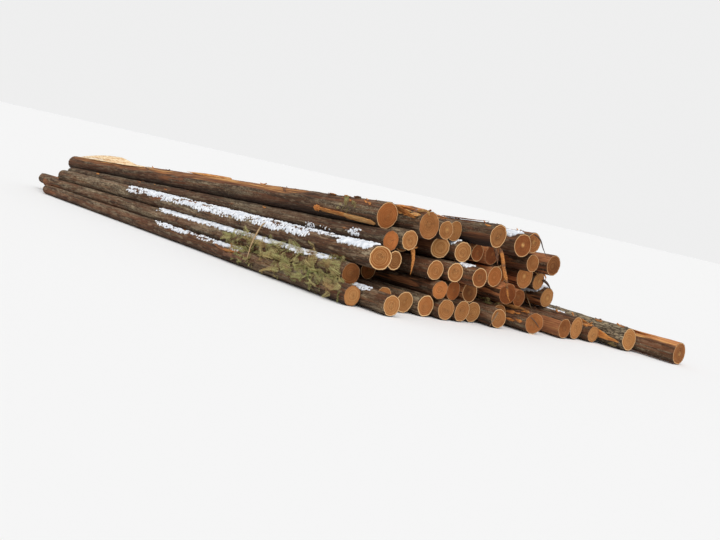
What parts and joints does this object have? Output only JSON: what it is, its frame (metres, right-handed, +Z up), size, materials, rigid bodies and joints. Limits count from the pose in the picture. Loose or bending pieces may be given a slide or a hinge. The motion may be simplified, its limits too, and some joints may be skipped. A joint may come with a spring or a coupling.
{
  "type": "stack of logs",
  "caption": "Long softwood saw logs with bark on, butts to one side, piled in tapering layers on level ground with the outer logs spread along the foot.",
  "frame": {"origin": "on the ground under the middle of the stack's box", "axes": "+X across the stack, to the right as seen from the butts; +Y along the logs from the butts to the small ends; +Z up"},
  "size_m": [5.5684, 13.057, 1.5511],
  "materials": {
    "log_bark": "matte",
    "sawn_end": "matte",
    "inner_bark": "matte",
    "cedar_foliage": "matte",
    "snow": "matte"
  },
  "bodies": {
    "root": {"log_01": "log_bark", "log_02": "log_bark", "log_03": "log_bark", "log_04": "log_bark", "log_05": "log_bark", "log_06": "log_bark", "log_07": "log_bark", "log_08": "log_bark", "log_09": "log_bark", "log_10": "log_bark", "log_11": "log_bark", "log_12": "log_bark", "log_13": "log_bark", "log_14": "log_bark", "log_15": "log_bark", "log_16": "log_bark", "log_17": "log_bark", "log_18": "log_bark", "log_19": "log_bark", "log_20": "log_bark", "log_21": "log_bark", "log_22": "log_bark", "log_23": "log_bark", "log_24": "log_bark", "log_25": "log_bark", "log_26": "log_bark", "log_27": "log_bark", "log_28": "log_bark", "log_29": "log_bark", "log_30": "log_bark", "log_31": "log_bark", "log_32": "log_bark", "log_33": "log_bark", "log_34": "log_bark", "log_35": "log_bark", "log_36": "log_bark", "log_37": "log_bark", "log_38": "log_bark", "log_39": "log_bark", "log_40": "log_bark", "log_41": "log_bark", "log_42": "log_bark", "log_43": "log_bark", "log_44": "log_bark", "log_45": "log_bark", "log_46": "log_bark", "log_47": "log_bark", "log_48": "log_bark", "log_49": "log_bark", "log_50": "log_bark", "log_51": "log_bark", "log_52": "log_bark", "log_53": "log_bark", "log_54": "log_bark", "log_55": "log_bark", "log_56": "log_bark", "log_57": "log_bark", "log_58": "log_bark"}
  },
  "joints": []
}
